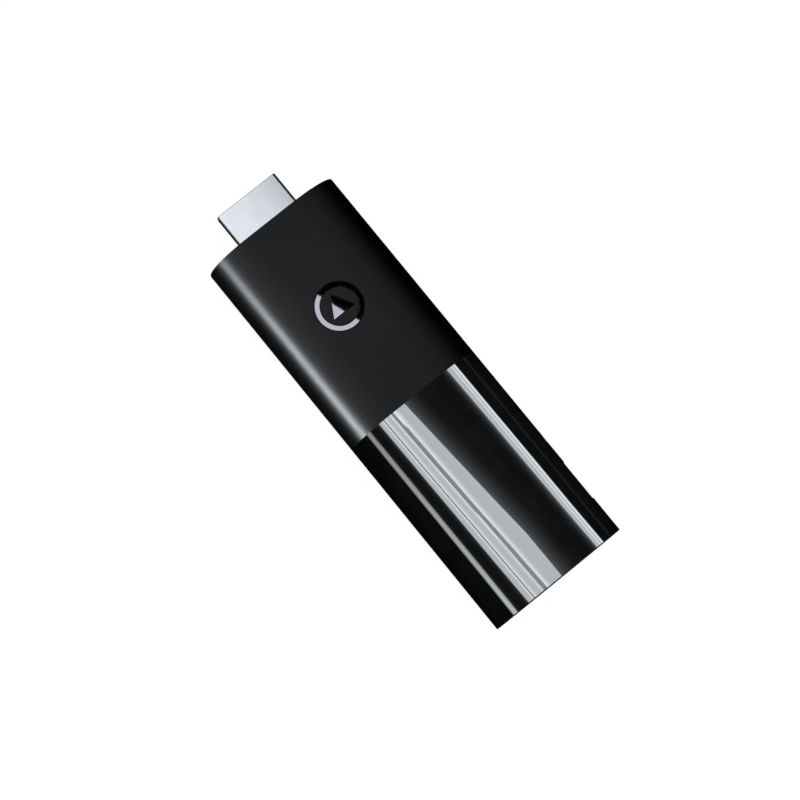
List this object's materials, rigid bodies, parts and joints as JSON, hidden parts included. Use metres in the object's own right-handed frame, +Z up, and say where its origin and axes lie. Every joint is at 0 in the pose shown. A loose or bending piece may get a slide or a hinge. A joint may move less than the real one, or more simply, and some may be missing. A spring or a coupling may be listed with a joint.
{
  "type": "streaming media player",
  "caption": "Slim black stick with rounded sides, a video plug at one end, a power socket in its side and a shielded circuit board inside.",
  "frame": {"origin": "middle of the whole object's length and width, on the flat face it lies on", "axes": "+Y out of the video plug, +Z up through the face with the emblem, +X out of the power socket"},
  "size_m": [0.0296, 0.0938, 0.0152],
  "materials": {
    "board_laminate": "green solder mask",
    "capacitor_case": "moulded amber",
    "case_plastic": "fine-grained satin black towards the plug, polished black towards the closed end",
    "chip_epoxy": "moulded black",
    "clear_resin": "clear moulded resin",
    "connector_resin": "moulded black",
    "emblem_gloss": "polished black inlay",
    "ferrite": "moulded dark grey",
    "gold_contact": "gold flash",
    "insulating_film": "smooth black film",
    "plug_steel": "satin nickel plate",
    "screw_steel": "zinc plated",
    "spreader_aluminium": "mill finish",
    "thermal_pad": "soft grey",
    "tin_plate": "bright tin plate"
  },
  "bodies": {
    "root": {"antenna": "tin_plate", "board_screw_1": "screw_steel", "board_screw_2": "screw_steel", "bottom_shell": "case_plastic", "core_inductor": "ferrite", "emblem_ring": "emblem_gloss", "emblem_triangle": "emblem_gloss", "flash_memory": "chip_epoxy", "heat_spreader": "spreader_aluminium", "input_capacitor": "capacitor_case", "input_inductor": "ferrite", "insulating_film": "insulating_film", "light_pipe": "clear_resin", "main_board": "board_laminate", "main_crystal": "tin_plate", "memory_left": "chip_epoxy", "memory_right": "chip_epoxy", "power_contact_1": "gold_contact", "power_contact_2": "gold_contact", "power_contact_3": "gold_contact", "power_contact_4": "gold_contact", "power_contact_5": "gold_contact", "power_manager": "chip_epoxy", "power_socket_insulator": "connector_resin", "power_socket_shell": "tin_plate", "processor": "chip_epoxy", "processor_thermal_pad": "thermal_pad", "radio_crystal": "tin_plate", "radio_module": "tin_plate", "shield_frame": "tin_plate", "shield_lid": "tin_plate", "spreader_thermal_pad": "thermal_pad", "status_led": "clear_resin", "step_down_converter": "chip_epoxy", "top_shell": "case_plastic", "video_lower_contact_01": "gold_contact", "video_lower_contact_02": "gold_contact", "video_lower_contact_03": "gold_contact", "video_lower_contact_04": "gold_contact", "video_lower_contact_05": "gold_contact", "video_lower_contact_06": "gold_contact", "video_lower_contact_07": "gold_contact", "video_lower_contact_08": "gold_contact", "video_lower_contact_09": "gold_contact", "video_plug_insulator": "connector_resin", "video_plug_shell": "plug_steel", "video_protection_left": "chip_epoxy", "video_protection_right": "chip_epoxy", "video_upper_contact_01": "gold_contact", "video_upper_contact_02": "gold_contact", "video_upper_contact_03": "gold_contact", "video_upper_contact_04": "gold_contact", "video_upper_contact_05": "gold_contact", "video_upper_contact_06": "gold_contact", "video_upper_contact_07": "gold_contact", "video_upper_contact_08": "gold_contact", "video_upper_contact_09": "gold_contact", "video_upper_contact_10": "gold_contact"}
  },
  "joints": []
}
